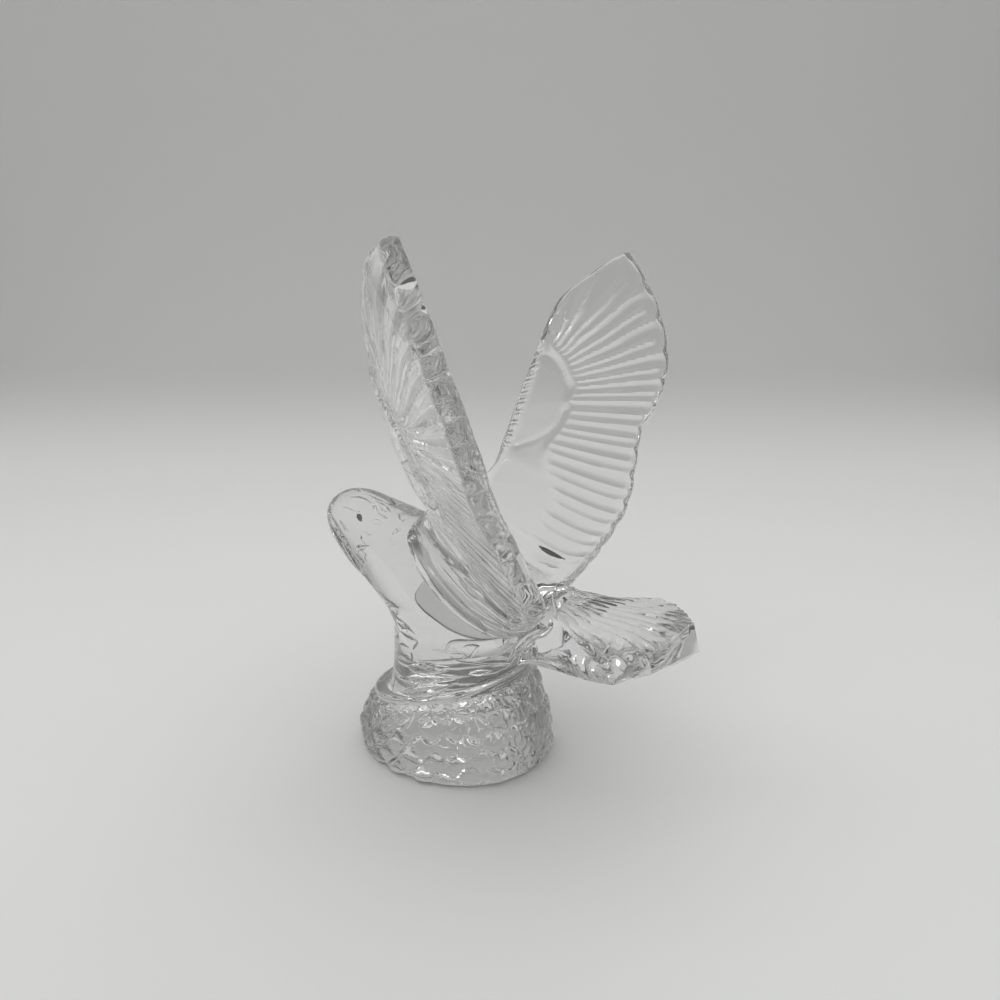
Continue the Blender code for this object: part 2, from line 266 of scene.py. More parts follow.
def pebbles(points):
    # height of the pebbles: domes with crisp seams, each a little higher or lower than the next
    chance = random.Random(rock["seed"])
    count = rock["pebblesAround"]
    centres = []
    for band in range(-1, rock["pebbleRows"] + 1):
        for one in range(count):
            climb = (band + 0.5 + chance.uniform(-1, 1) * rock["pebbleShift"]) / rock["pebbleRows"]
            turn = (one + 0.5 * (band % 2) + chance.uniform(-1, 1) * rock["pebbleShift"]) / count
            side = np.array(np.clip(climb, 0, 1)), np.array(turn * fullTurn)
            centre = rockSide(*side)[0]
            centre[2] += (climb - side[0]) * rock["rimFrontZ"]
            centres.append(centre)
    tree = kdtree.KDTree(len(centres))
    for index, centre in enumerate(centres):
        tree.insert(centre, index)
    tree.balance()
    rise = [1 + chance.uniform(-1, 1) * rock["pebbleUneven"] for centre in centres]
    height = np.empty(points.shape[:2])
    for place in np.ndindex(height.shape):
        first, second = tree.find_n(points[place], 2)
        reach = 2 * first[2] / (first[2] + second[2])
        height[place] = rise[first[1]] * math.sqrt(max(0.0, 1 - reach ** rock["pebbleCurve"]))
    return height


def makeRock():
    angle = np.linspace(0, fullTurn, rock["columns"] + 1)
    climb = np.linspace(0, 1, rock["sideRows"] + 1)
    climbGrid, angleGrid = np.meshgrid(climb, angle, indexing="ij")
    side, rim, rimZ, outward = rockSide(climbGrid, angleGrid)
    dome = pebbles(side)
    edge = fade(climbGrid, 0, rock["footFade"]) * fade(1 - climbGrid, 0, rock["rimFade"])
    # pebbles on the far side would show through the near ones, so they keep less of their relief
    seen = fade(outward @ unit(np.array(view["place"][:2])), *rock["seenFrom"])
    relief = rock["pebbleRelief"] * (rock["hiddenShare"] + (1 - rock["hiddenShare"]) * seen)
    side[..., :2] += outward * (relief * dome * edge)[..., None]
    rim, rimZ, outward = rim[0], rimZ[0], outward[0]
    leg = ovalPlan(outward, rock["legHalfWidth"], rock["legFrontY"], rock["legBackY"])
    shoulder = side[-1, :, :2]
    rings = [np.column_stack((side[0, :, :2] * share, np.zeros(len(angle))))
             for share in rock["footShares"]]
    rings += list(side)  # then the collar, the skirt and the closed top inside the body
    for turn in np.linspace(0, math.pi / 2, rock["collarSteps"] + 1)[1:]:
        plan = rim + (shoulder - rim) * math.cos(turn)
        rings.append(np.column_stack((plan, rimZ - rock["collar"] * (1 - math.sin(turn)))))
    for share in np.linspace(0, 1, rock["skirtSteps"] + 1)[1:]:
        inward, climbed = 1 - (1 - share) ** rock["skirtCurve"], share ** rock["skirtCurve"]
        shrink = 1 + (rock["legTopShrink"] - 1) * climbed
        plan = rim + (leg * shrink - rim) * inward
        rings.append(np.column_stack((plan, rimZ + (rock["legTopZ"] - rimZ) * climbed)))
    for share in rock["topShares"]:
        rings.append(np.column_stack((leg * share, np.full(len(angle), rock["legTopZ"] + 1 - share))))
    return latticePiece("rock", np.array(rings))


# the wings: a slab that rounds over at its rims, with two rounded ribs for each feather

wing = {
    "feathers": 13,
    "leading": (
        (0.0, 15.0, -6.0, 75.7),
        (1.0, 16.0, -1.6, 80.0),
        (2.2, 18.2, 2.6, 84.4),
        (5.0, 26.7, 4.0, 93.2),
        (9.0, 37.2, 5.2, 106.4),
        (13.0, 49.1, 7.9, 122.9),
    ),
    "outer": (
        (0.0, 49.1, 7.9, 122.9),
        (0.35, 57.9, 11.4, 135.4),
        (0.62, 66.9, 17.6, 142.0),
        (0.85, 73.6, 23.6, 147.2),
        (1.0, 76.4, 28.0, 149.4),
    ),
    "trailing": (
        (0.0, 14.0, 33.1, 54.4),
        (2.0, 26.5, 37.0, 60.5),
        (4.0, 41.0, 41.0, 71.0),
        (6.0, 53.0, 40.6, 86.0),
        (7.0, 58.0, 40.4, 92.3),
        (8.0, 67.6, 42.5, 99.5),
        (9.0, 74.5, 43.5, 106.5),
        (10.0, 78.9, 43.0, 115.5),
        (11.0, 81.2, 39.8, 127.0),
        (12.0, 80.4, 35.4, 137.2),
        (13.0, 76.4, 28.0, 149.4),
    ),
    "root": (
        (0.0, 15.0, -6.0, 75.7),
        (0.15, 14.5, -2.4, 65.0),
        (0.35, 14.3, 6.0, 55.6),
        (0.62, 14.2, 17.5, 49.4),
        (0.82, 14.2, 25.3, 49.3),
        (1.0, 14.0, 33.1, 54.4),
    ),
    "flutesFrom": (  # row, chord where the flutes begin
        (0.0, 0.46), (1.0, 0.43), (2.0, 0.38), (3.2, 0.40), (4.3, 0.345), (5.3, 0.31), (6.3, 0.365),
        (7.4, 0.40), (8.0, 0.352), (8.9, 0.37), (9.6, 0.32), (10.4, 0.258), (11.2, 0.173), (13.0, 0.10),
    ),
    "outerFlutesFrom": (
        (0.0, 0.08), (1.0, 0.12), (2.2, 0.36), (3.2, 0.40), (4.3, 0.345), (5.3, 0.32), (6.3, 0.375),
        (7.4, 0.40), (8.0, 0.36), (8.9, 0.37), (9.6, 0.32), (10.4, 0.258), (11.2, 0.173), (13.0, 0.10),
    ),
    "upperArc": (  # row, chord of the raised edge that borders the wrist coverts, from the rim in
        (11.4, 0.025), (10.7, 0.147), (10.0, 0.22), (9.05, 0.29), (8.1, 0.355), (7.6, 0.375),
    ),
    "lowerArc": (
        (7.5, 0.34), (6.85, 0.343), (6.25, 0.30), (5.65, 0.233), (5.0, 0.138), (4.6, 0.09),
    ),
    "fanLean": (  # chord, how many feathers the upper ribs lean forward there
        (0.0, 2.0), (0.15, 1.9), (0.22, 1.65), (0.36, 1.1),
        (0.55, 0.65), (0.72, 0.33), (0.9, 0.12), (1.0, 0.0),
    ),
    "fanRows": (7.9, 11.3),
    "tipLean": 0.35,
    "tipLeanRows": (12, 13),
    "outerShare": (  # row, share of the rib height on the outer face
        (0.0, 0.6), (3.0, 0.5), (5.0, 0.3), (8.0, 0.2), (9.5, 0.1), (13.0, 0.05),
    ),
    "innerShare": (  # row, the same on the inner face
        (0.0, 1.0), (8.0, 1.0), (9.5, 1.15), (11.0, 1.6), (13.0, 1.8),
    ),
    "thickRoot": 6.6,
    "thickTip": 4.0,
    "leadRim": 2.0,
    "trailRim": 1.1,
    "tipRim": 1.0,
    "beadSize": 0.4,
    "beadsPerRow": (3.3, 2.2),
    "beadPlace": 1.0,
    "beadWidth": 0.8,
    "beadsFrom": (3.5, 5),
    "beadsTo": (12, 13),
    "ribHeight": 0.95,
    "ribMean": 0.55,
    "minorShare": 0.8,
    "valleyShift": 0.11,
    "minorValley": 0.434,
    "minorEnd": (2.4, 5.0),
    "minorFade": 2,
    "ribStart": 0.045,
    "lowRibStart": 0.1,
    "lowRows": (3, 5),
    "ribEndTrail": (1.2, 2.8),
    "ribEndTip": (1.0, 2.4),
    "plainRows": (0.3, 2.2),
    "plainChord": (0.7, 0.85),
    "scallop": 0.7,
    "scallopCurve": 0.6,
    "scallopMean": 0.7,
    "scallopReach": 7,
    "covertRise": 0.8,
    "covertEase": 0.05,
    "covertLead": (1, 3.5),
    "covertRows": (3.6, 5.6),
    "arcRise": 0.5,
    "arcWidth": 0.7,
    "arcLead": (0.5, 2.5),
    "arcSteps": 60,
    "endCurve": 5,
    "tipRows": 3,
    "tipCrowd": (0.006, 0.02, 0.04, 0.1),
    "rootDepth": 7.0,
    "rootDrop": 5.0,
    "rootDropChord": 0.3,
    "rootShares": (1.0, 0.9, 0.75, 0.5, 0.25),
    "rootRound": 0.25,
    "rowsPerFeather": 11,
    "rowsInFan": 20,
    "chordSteps": 58,
    "rimEase": 0.62,
}


def wingMiddle(row, chord):
    # middle surface of the left wing, rows along the feathers and chord from ahead to behind
    share = (row / wing["feathers"])[..., None]
    chord = chord[..., None]
    ahead, behind = curveThrough(wing["leading"], row), curveThrough(wing["trailing"], row)
    flat = ahead + (behind - ahead) * chord
    rootLine = np.array(wing["leading"][0][1:]) * (1 - chord) + np.array(wing["trailing"][0][1:]) * chord
    tipLine = np.array(wing["leading"][-1][1:]) * (1 - chord) + np.array(wing["trailing"][-1][1:]) * chord
    rootSag = curveThrough(wing["root"], chord[..., 0]) - rootLine
    tipRise = curveThrough(wing["outer"], chord[..., 0]) - tipLine
    return flat + rootSag * (1 - share) ** wing["endCurve"] + tipRise * share ** wing["endCurve"]


def wingRows():
    # rows along the feathers, closer together in the fan and at the very tip
    feathers, fan = wing["feathers"], wing["fanRows"][0]
    low = np.linspace(0, fan, round(fan * wing["rowsPerFeather"]) + 1)
    high = np.linspace(fan, feathers, round((feathers - fan) * wing["rowsInFan"]) + 1)
    return np.unique(np.concatenate((low, high, feathers - np.array(wing["tipCrowd"]))))


def wingNormal(rows):
    # the way the slab is thick, row by row, held still near the tip
    heldRows = np.minimum(rows, wing["feathers"] - wing["tipRows"])
    chordLine = curveThrough(wing["trailing"], heldRows) - curveThrough(wing["leading"], heldRows)
    spanLine = np.array(wing["outer"][-1][1:]) - curveThrough(wing["root"], 0.5)
    return unit(np.cross(chordLine, spanLine))[:, None, :]


def wingSlab(row, fromLead, fromTrail, fromTip):
    # how full the slab is near its rims, and half its thickness with the beads on the front rim
    thickness = wing["thickRoot"] + (wing["thickTip"] - wing["thickRoot"]) * (row / wing["feathers"])
    rims = ((fromLead, wing["leadRim"]), (fromTrail, wing["trailRim"]), (fromTip, wing["tipRim"]))
    fill = np.minimum.reduce([rounded(far, radius) for far, radius in rims])
    beads = sum(np.cos(fullTurn * often * row + often) for often in wing["beadsPerRow"])
    beads = wing["beadSize"] * beads * bump(fromLead, wing["beadPlace"], wing["beadWidth"])
    beads = beads * fade(row, *wing["beadsFrom"]) * fadeOut(row, *wing["beadsTo"])
    return fill, thickness / 2 * fill + beads


def ribProfile(along, narrowLeft):
    # height over one feather: a wide rounded rib and a narrow one with sharp seams between,
    # which run together into one rib where the narrow one ends
    within = (along - wing["valleyShift"]) % 1.0
    split = wing["minorValley"]
    oneRib = np.sin(math.pi * within)
    narrow = wing["minorShare"] * np.sin(math.pi * np.clip(within / split, 0, 1))
    wide = np.sin(math.pi * np.clip((within - split) / (1 - split), 0, 1))
    return oneRib + (np.where(within < split, narrow, wide) - oneRib) * narrowLeft - wing["ribMean"]


def wingRelief(row, chord, begin, ribs, fromLead, ended):
    # the ribs from where they begin to the rear rim, and the raised smooth coverts ahead of them
    run = wing["ribStart"] + wing["lowRibStart"] * fadeOut(row, *wing["lowRows"])
    plain = (1 - fade(row, *wing["plainRows"])) * fade(chord, *wing["plainChord"])
    flute = wing["ribHeight"] * ribs * fade(chord, begin, begin + run) * ended * (1 - plain)
    covert = wing["covertRise"] * (1 - fade(chord, begin - wing["covertEase"], begin))
    return flute, covert * fade(fromLead, *wing["covertLead"]) * fade(row, *wing["covertRows"])


def nearPath(rowGrid, chordGrid, path, rowSize, chordSize):
    # distance in millimetres from a path given by rows and chords
    fine = curveThrough([(i, *knot) for i, knot in enumerate(path)],
                        np.linspace(0, len(path) - 1, wing["arcSteps"]))
    return np.minimum.reduce([np.hypot((rowGrid - row) * rowSize, (chordGrid - chord) * chordSize)
                              for row, chord in fine])


def wingRoot(chord, middle, firstRing):
    # rings that carry the slab on into the body and close it there
    heart = np.concatenate((middle, middle[-2::-1]))
    near = np.concatenate((chord, chord[-2::-1]))
    rings = []
    for share in wing["rootShares"]:
        inward = np.zeros((len(heart), 3))
        inward[:, 0] = -wing["rootDepth"] * share
        inward[:, 2] = -wing["rootDrop"] * share * (1 - fade(near, 0, wing["rootDropChord"]))
        past = max(0.0, (share - 1 + wing["rootRound"]) / wing["rootRound"])
        rings.append(heart + (firstRing - heart) * math.sqrt(max(0.0, 1 - past**2)) + inward)
    return np.array(rings)


def makeWing():
    rows = wingRows()
    ease = wing["rimEase"]
    straight = np.linspace(0, 1, wing["chordSteps"] + 1)
    chord = (1 - ease) * straight + ease * (0.5 - 0.5 * np.cos(math.pi * straight))
    rowGrid, chordGrid = np.meshgrid(rows, chord, indexing="ij")
    middle = wingMiddle(rowGrid, chordGrid)
    normal = wingNormal(rows)
    rowSize = steps(middle, 0) / np.gradient(rows)[:, None]
    length = (steps(middle, 1) / np.gradient(chord)[None, :]).mean(axis=1, keepdims=True)
    fromLead, fromTrail = chordGrid * length, (1 - chordGrid) * length
    fromTip = (wing["feathers"] - rowGrid) * rowSize
    fill, half = wingSlab(rowGrid, fromLead, fromTrail, fromTip)

    inFan = fade(rowGrid, *wing["fanRows"])
    lean = curveThrough(wing["fanLean"], chordGrid)[..., 0] * inFan
    leaned = rowGrid + lean * (1 - wing["tipLean"] * fade(rowGrid, *wing["tipLeanRows"]))
    ended = fade(fromTrail, *wing["ribEndTrail"]) * fade(fromTip, *wing["ribEndTip"])
    lowEnd, fanEnd = wing["minorEnd"]
    narrowLeft = fade(fromTrail - lowEnd - (fanEnd - lowEnd) * inFan, -wing["minorFade"], wing["minorFade"])
    faces = []
    for table, along, tall in (("flutesFrom", leaned, "innerShare"),
                               ("outerFlutesFrom", rowGrid, "outerShare")):
        ribs = curveThrough(wing[tall], rows) * ribProfile(along, narrowLeft)
        begin = curveThrough(wing[table], rows)
        flute, covert = wingRelief(rowGrid, chordGrid, begin, ribs, fromLead, ended)
        faces.append(flute + covert * fill)
    arcs = sum(bump(nearPath(rowGrid, chordGrid, wing[name], rowSize, length), 0, wing["arcWidth"])
               for name in ("upperArc", "lowerArc")) * wing["arcRise"] * fade(fromLead, *wing["arcLead"])
    trail = unit(middle[:, -1:] - middle[:, -2:-1])
    lobe = np.abs(np.sin(math.pi * (rowGrid - wing["valleyShift"]))) ** wing["scallopCurve"]
    lobe = (lobe - wing["scallopMean"]) * fadeOut(fromTrail, 0, wing["scallopReach"])
    middle = middle + trail * (wing["scallop"] * lobe)[..., None]
    inner = middle - normal * (half + faces[0] + arcs * fill)[..., None]
    outer = middle + normal * (half + faces[1])[..., None]
    ring = np.concatenate((outer, inner[:, -2::-1]), axis=1)
    return latticePiece("wing", np.concatenate((wingRoot(chord, middle[0], ring[0]), ring)))


# the tail: a fan, roof-shaped above and keeled below, with a stepped end

tail = {
    "side": (
        (0.0, 8.5, 28.0, 55.5),
        (0.35, 11.4, 37.0, 52.2),
        (0.55, 15.0, 42.5, 50.2),
        (0.75, 19.6, 48.0, 49.0),
        (1.0, 26.3, 56.4, 47.6),
    ),
    "notchShare": 0.67,
    "notch": (17.5, 60.2),
    "step": (16.8, 62.6),
    "tipY": 70.6,
    "feathers": 15,
    "flute": 0.62,
    "fluteCurve": 0.8,
    "fluteMean": 0.5,
    "fluteStart": 6,
    "fluteEdge": 0.05,
    "fluteSway": 0.02,
    "swayWaves": 11,
    "leaves": 2.8,
    "leafShift": 0.37,
    "leafCurve": 0.6,
    "leafShare": 0.75,
    "rootLow": 34.6,
    "rootRise": 2.0,
    "roofCurve": 1.6,
    "keelCurve": 4.6,
    "keelEase": 2.5,
    "anchor": (12.0, 10.0, 50.0, 32.5),
    "endTop": 54.0,
    "endLow": 46.3,
    "endSag": 0.6,
    "endLean": 2.2,
    "pinches": (0.5, 0.0),
    "stepsAlong": 60,
    "stepsPerFeather": 8,
}


def tailEnd(across):
    # the stepped rear edge seen from above, and its height
    edge, split = np.abs(across), tail["notchShare"]
    side = np.clip((1 - edge) / (1 - split), 0, 1)
    inside = np.clip(1 - edge / split, 0, 1)
    cornerX, cornerY, cornerTop = tail["side"][-1][1:]
    notchX, notchY = tail["notch"]
    stepX, stepY = tail["step"]
    x = np.where(edge > split, cornerX + (notchX - cornerX) * side, stepX * (1 - inside))
    y = np.where(edge > split, cornerY + (notchY - cornerY) * side, stepY + (tail["tipY"] - stepY) * inside)
    return x * np.sign(across), y, tail["endTop"] - (tail["endTop"] - cornerTop) * edge ** tail["roofCurve"]


def tailFlutes(across, share):
    # long flutes broken into leaves
    turn = (across + tail["fluteSway"] * math.sin(tail["swayWaves"] * share) + 1) / 2 * tail["feathers"]
    leaf = np.abs(np.sin(math.pi * (tail["leaves"] * share + tail["leafShift"] * np.floor(turn))))
    leaf = 1 - tail["leafShare"] * (1 - leaf ** tail["leafCurve"])
    rib = np.abs(np.sin(math.pi * turn)) ** tail["fluteCurve"] * leaf - tail["fluteMean"]
    fromEdge = fade(1 - np.abs(across), 0, tail["fluteEdge"])
    return tail["flute"] * rib * min(1.0, tail["fluteStart"] * share) * fromEdge


def closedRing(upper, under):
    # out along the top, back along the underside and shut at the start
    return np.concatenate((upper, under[::-1], upper[:1]))


def tailRing(across, share):
    # one ring across the tail, from its root at share 0 to its rear edge at share 1
    edge = np.abs(across)
    endX, endY, endTop = tailEnd(across)
    root, corner = (np.array(tail["side"][knot][1:]) for knot in (0, -1))
    rootHalf, rootY, rootTop = root
    straight = root * (1 - share) + corner * share
    bend = (curveThrough(tail["side"], share) - straight) * (edge**2)[:, None]
    x = rootHalf * across + (endX - rootHalf * across) * share + bend[:, 0] * np.sign(across)
    y = rootY + (endY - rootY) * share + bend[:, 1]
    top = rootTop + (endTop - rootTop) * share + bend[:, 2] + tailFlutes(across, share)
    lowRoot = tail["rootLow"] + tail["rootRise"] * edge**2
    lowEnd = tail["endLow"] - tail["endSag"] * np.sin(math.pi * edge**2)
    low = lowRoot + (lowEnd - lowRoot) * share ** (tail["keelCurve"] - tail["keelEase"] * edge)
    under = np.column_stack((x, y + tail["endLean"] * share * (1 - edge), low))
    return closedRing(np.column_stack((x, y, top)), under)


def makeTail():
    count = tail["feathers"] * tail["stepsPerFeather"] + 1
    across = np.linspace(-1, 1, count)
    anchorHalf, anchorY, anchorTop, anchorLow = tail["anchor"]
    upper, under = (np.column_stack((anchorHalf * across, np.full(count, anchorY), np.full(count, height)))
                    for height in (anchorTop, anchorLow))
    rings = [closedRing(upper, under)]
    rings += [tailRing(across, share) for share in np.linspace(0, 1, tail["stepsAlong"] + 1)]
    upper, under = rings[-1][:count], rings[-1][count:2 * count][::-1]
    middle = (upper + under) / 2
    rings += [closedRing(middle + (upper - middle) * pinch, middle + (under - middle) * pinch)
              for pinch in tail["pinches"]]
    heart = np.tile(rings[0][:-1].mean(axis=0), (len(rings[0]), 1))
    return latticePiece("tail", np.array([heart] + rings))


# the toes: three lobes on each side, from the ankle forward

toes = {
    "each": (  # ankle, tip
        ((16.9, 5.5, 33.2), (16.7, -8.2, 31.6)),
        ((17.1, 7.2, 31.4), (16.5, -10.2, 26.8)),
        ((16.9, 8.2, 29.6), (16.3, -11.6, 22.0)),
    ),
    "halfWidth": 2.0,
    "farHalfWidth": 1.3,
    "swellCurve": 1.45,
    "pointCurve": 0.8,
    "rings": 20,
    "sides": 14,
}


def makeToe(ankle, tip, halfWidth):
    ankle, end = np.array(ankle), np.array(tip)
    way = unit(end - ankle)
    up = unit(np.cross(way, (1.0, 0.0, 0.0)))
    out = np.cross(up, way)
    angle = np.linspace(0, fullTurn, toes["sides"] + 1)
    share = (0.5 - 0.5 * np.cos(math.pi * np.linspace(0, 1, toes["rings"] + 1)))[:, None, None]
    swell = np.sin(math.pi * share ** toes["swellCurve"]) ** toes["pointCurve"]
    ring = np.cos(angle)[None, :, None] * out + np.sin(angle)[None, :, None] * up
    return latticePiece("toe", ankle + (end - ankle) * share + halfWidth * swell * ring)


# fine cut and raised strokes: slim spindles that lie along a path on the surface

strokes = {
    "rings": 10,
    "sides": 10,
    "notchSides": 4,
    # notches are marked fully satin, which also tints them near black with painted shade
    "notchSatinShade": 1.0,
    "deeper": 1.5,
    "pointCurve": 0.7,
    "headNotch": (  # half width, depth or height, pixels of the path
        (0.75, 2.0, ((357.3, 513.5), (359.5, 517.5), (361.3, 521.7))),
    ),
    "headCut": (
        (0.35, 0.7, ((342, 506.5), (350.5, 510), (357.5, 512.5))),
        (0.35, 0.8, ((356.5, 512), (358.5, 512), (360.5, 514))),
        (0.32, 0.65, ((369, 521), (373.5, 520), (378.5, 520.5), (383, 522.5))),
        (0.32, 0.65, ((369, 521), (372.5, 524.5), (377, 524.5), (383, 522.5))),
        (0.4, 0.8, ((370.5, 506), (373.5, 507), (376, 506.5))),
        (0.4, 0.9, ((375, 504.5), (376, 509), (377, 513))),
        (0.32, 0.7, ((377, 512.5), (382.5, 516), (388.5, 519))),
        (0.3, 0.55, ((377, 515), (381, 518.5), (386.5, 518))),
        (0.3, 0.55, ((379, 507.5), (385, 507.5), (390.5, 511.5))),
        (0.3, 0.55, ((379, 507.5), (384, 511), (390.5, 511.5))),
        (0.42, 0.85, ((398.5, 512.5), (399, 516.5), (400.5, 520))),
        (0.36, 0.7, ((399.5, 519), (402.5, 520), (406, 519.5))),
        (0.3, 0.5, ((398, 513), (403, 513.5), (408, 514))),
        (0.55, 1.2, ((392, 535), (396, 530.5), (401, 528))),
        (0.42, 0.6, ((361, 531.5), (366.5, 533.5), (372.5, 535))),
        (0.35, 0.6, ((361.5, 534), (361.5, 540), (366.5, 545))),
        (0.5, 1, ((356.5, 552), (357.5, 547), (362.5, 545.5), (370, 546))),
        (0.4, 0.8, ((357.5, 551), (362, 549.5), (366.5, 547))),
        (0.42, 0.9, ((361, 550), (364.5, 555.5), (367, 562.5))),
        (0.34, 0.7, ((355, 552.5), (359, 557), (362.5, 563))),
        (0.34, 0.7, ((353, 556), (357, 561), (361, 567))),
        (0.34, 0.7, ((358, 555), (361.5, 559.5), (365, 565))),
        (0.34, 0.7, ((359.5, 563), (362.5, 568), (365, 574))),
        (0.42, 0.9, ((329, 508.5), (333.5, 520), (341.5, 533.5), (351.5, 549.5))),
        (0.35, 0.8, ((339, 519.5), (344.5, 527.5), (349.5, 534.5))),
        (0.42, 0.7, ((340, 534), (342, 537), (344, 540))),
        (0.42, 0.7, ((344, 541), (346, 544), (348, 547))),
        (0.35, 0.7, ((334, 527.5), (336, 529.5), (337.5, 532))),
        (0.35, 0.7, ((365.5, 493), (375, 498), (385, 502))),
        (0.35, 0.7, ((384, 502.5), (392, 505.5), (401, 508.5))),
        (0.32, 0.6, ((374.5, 500), (385, 505.5), (391.5, 512.5))),
        (0.32, 0.6, ((349, 497), (361.5, 497.5), (373, 503.5))),
        (0.5, 1, ((349.5, 489.5), (355, 489.5), (361.5, 491.5))),
    ),
    "headRaised": (
        (0.75, 0.7, ((330, 522), (334.5, 531.5), (341, 541.5), (347.5, 552.5), (354.5, 563.5), (361, 572))),
        (0.5, 0.55, ((391, 536.5), (390, 542.5), (394, 543.5), (402, 538))),
    ),
    "bodyCut": (
        (0.4, 0.8, ((412.5, 660), (420, 663), (434, 665.5), (451.5, 667.5))),
        (0.4, 0.85, ((414.5, 663.5), (421.5, 668.5), (434.5, 670.5), (451.5, 668))),
        (0.32, 0.6, ((408.5, 672.5), (422.5, 674), (440, 675), (457, 675.5))),
        (0.42, 0.95, ((406.5, 674.5), (408.5, 680), (413, 684), (426, 683), (441.5, 680), (457, 676))),
        (0.34, 0.7, ((404.5, 690), (416, 686), (438.5, 683), (460, 679.5))),
        (0.42, 0.95, ((404, 691), (412.5, 697.5), (426, 698.5), (447, 689), (459.5, 680.5))),
        (0.5, 1.1, ((395, 664), (399, 675), (406, 679.5), (414, 684.5))),
        (0.4, 0.8, ((392, 693), (394.5, 680.5), (397.5, 673))),
        (0.35, 0.6, ((380.5, 690), (397.5, 696.5), (418, 701.5), (439.5, 698))),
        (0.4, 0.8, ((450, 696), (459, 693), (469.5, 692))),
        (0.5, 1.1, ((410, 692.5), (413, 692.5), (416, 693))),
        (0.5, 1.1, ((422, 691.5), (429, 691.5), (436, 692))),
        (0.45, 0.9, ((421, 679.5), (426.5, 679.5), (432, 679))),
        (0.35, 0.6, ((468, 674), (478, 671), (492.5, 670.5))),
        (0.35, 0.6, ((468, 674), (479.5, 675.5), (492.5, 670.5))),
        (0.6, 1.2, ((395, 615.5), (404, 625), (415.5, 635.5))),
        (0.45, 0.9, ((396.5, 621.5), (402, 627.5), (408, 632.5))),
        (0.5, 1.1, ((399, 630.5), (408, 637), (418.5, 642))),
        (0.4, 0.9, ((418.5, 641.5), (415.5, 645.5), (412.5, 650))),
        (0.4, 0.8, ((398, 644), (404, 644.5), (409, 648))),
        (0.4, 0.8, ((398, 655.5), (403, 654.5), (410, 657.5))),
        (0.35, 0.7, ((410.5, 651.5), (412, 656.5), (411.5, 662))),
        (0.9, 1.1, ((541.5, 628.5), (523.5, 641.5), (506, 663.5))),
        (0.6, 1.1, ((541, 636), (526.5, 650), (514.5, 666.5))),
        (0.5, 0.9, ((541.5, 632.5), (525, 645.5), (510, 665))),
    ),
    "bodyRaised": (
        (0.6, 0.55, ((444.5, 652), (451.5, 642), (468.5, 641), (492, 640.5))),
        (0.5, 0.5, ((449, 656), (459.5, 661), (475.5, 663), (500, 666.5))),
        (0.6, 0.6, ((462, 648), (468, 645.5), (478, 646), (474, 653), (468, 658), (463, 652))),
        (0.45, 0.5, ((498, 657), (510, 646.5), (524, 637))),
        (0.6, 0.75, ((556.5, 583.5), (554, 598.5), (557.5, 620.5))),
    ),
    "wingNotch": (
        (0.8, 2.0, ((538, 545.5), (550, 552.5), (564, 559))),
    ),
    "wingCut": (
        (0.39, 0.85, ((537, 561), (549, 565), (560, 568))),
    ),
}


def skinOf(piece):
    corners = [vertex.co.copy() for vertex in piece.data.vertices]
    return BVHTree.FromPolygons(corners, [list(face.vertices) for face in piece.data.polygons])


def layOn(skin, pixels, share, mirrored=False):
    # a line of the photograph laid on the surface, from the camera or from its mirror place
    turned = Euler((math.radians(view["tilt"]), 0, math.radians(view["turn"]))).to_matrix()
    flip = np.array((-1 if mirrored else 1, 1, 1))
    focal, middle = view["lens"] / view["sensor"] * view["pixels"], view["pixels"] / 2
    spots, lifts = [], []
    knots = [(knot, *pixel) for knot, pixel in enumerate(pixels)]
    for x, y in curveThrough(knots, share * (len(pixels) - 1)):
        way = turned @ Vector(((x - middle) / focal, (middle - y) / focal, -1))
        spot, lift, face, far = skin.ray_cast(Vector(flip * view["place"]), Vector(flip * way))
        if spot:
            spots.append(spot)
            lifts.append(lift)
    return np.array(spots) / mm, np.array(lifts)


def makeStroke(spots, lifts, halfWidth, height, sides):
    # a spindle with pointed ends, half of it above the surface
    way = unit(np.gradient(spots, axis=0))
    side = unit(np.cross(way, lifts))[:, None]
    up = np.cross(side[:, 0], way)[:, None]
    angle = np.linspace(0, fullTurn, sides + 1)[None, :, None]
    swell = np.sin(math.pi * np.linspace(0, 1, len(spots))) ** strokes["pointCurve"]
    ring = np.cos(angle) * side * halfWidth + np.sin(angle) * up * height
    return latticePiece("stroke", spots[:, None] + swell[:, None, None] * ring)


def work(base, kind):
    # cuts or raises every stroke of one kind on the eagle's left
    # the photograph shows those of the wings on the far one, so they are seen from the mirror place
    way = "UNION" if kind.endswith("Raised") else "DIFFERENCE"
    notch = kind.endswith("Notch")
    around = strokes["notchSides"] if notch else strokes["sides"]
    skin, made = skinOf(base), []
    for halfWidth, height, pixels in strokes[kind]:
        share = np.linspace(0, 1, strokes["rings"] + 1)
        spots, lifts = layOn(skin, pixels, share, mirrored=kind.startswith("wing"))
        if way == "DIFFERENCE":
            height = height * strokes["deeper"]
        made.append(makeStroke(spots, lifts, halfWidth, height, around))
        # a notch is marked satin, which also darkens it with painted shade
        if notch:
            satinShadeCuts.append((skinOf(made[-1]), strokes["notchSatinShade"]))
    return melt(base, made, way)


# slanting faces cut into both flanks, left satin and darkened with painted shade

bevels = {
    # how satin the cut faces are, which also sets how much painted shade darkens them
    "satinAndShade": 0.5,
    "rings": 26,
    "clear": 3.0,
    "endCurve": 0.6,
    "rootBand": (  # depth at the lower line, pixels of the upper line, pixels of the lower line
        0.5,
        ((418, 540), (427.5, 550), (433, 564), (445, 581), (459, 597), (475, 614.5), (489, 631)),
        ((410, 540), (416.5, 556), (427.5, 575), (440, 594), (459, 611.5), (475, 624), (487.5, 634.5)),
    ),
    "flankLens": (
        1.0,
        ((427, 579), (433, 587), (441, 597), (450, 606),
         (459, 613.5), (467, 620), (477, 627), (494, 635.5)),
        ((421, 583), (414.5, 597), (421, 609), (434, 620),
         (451, 631.5), (472, 639), (492, 640), (508, 636.5)),
    ),
}


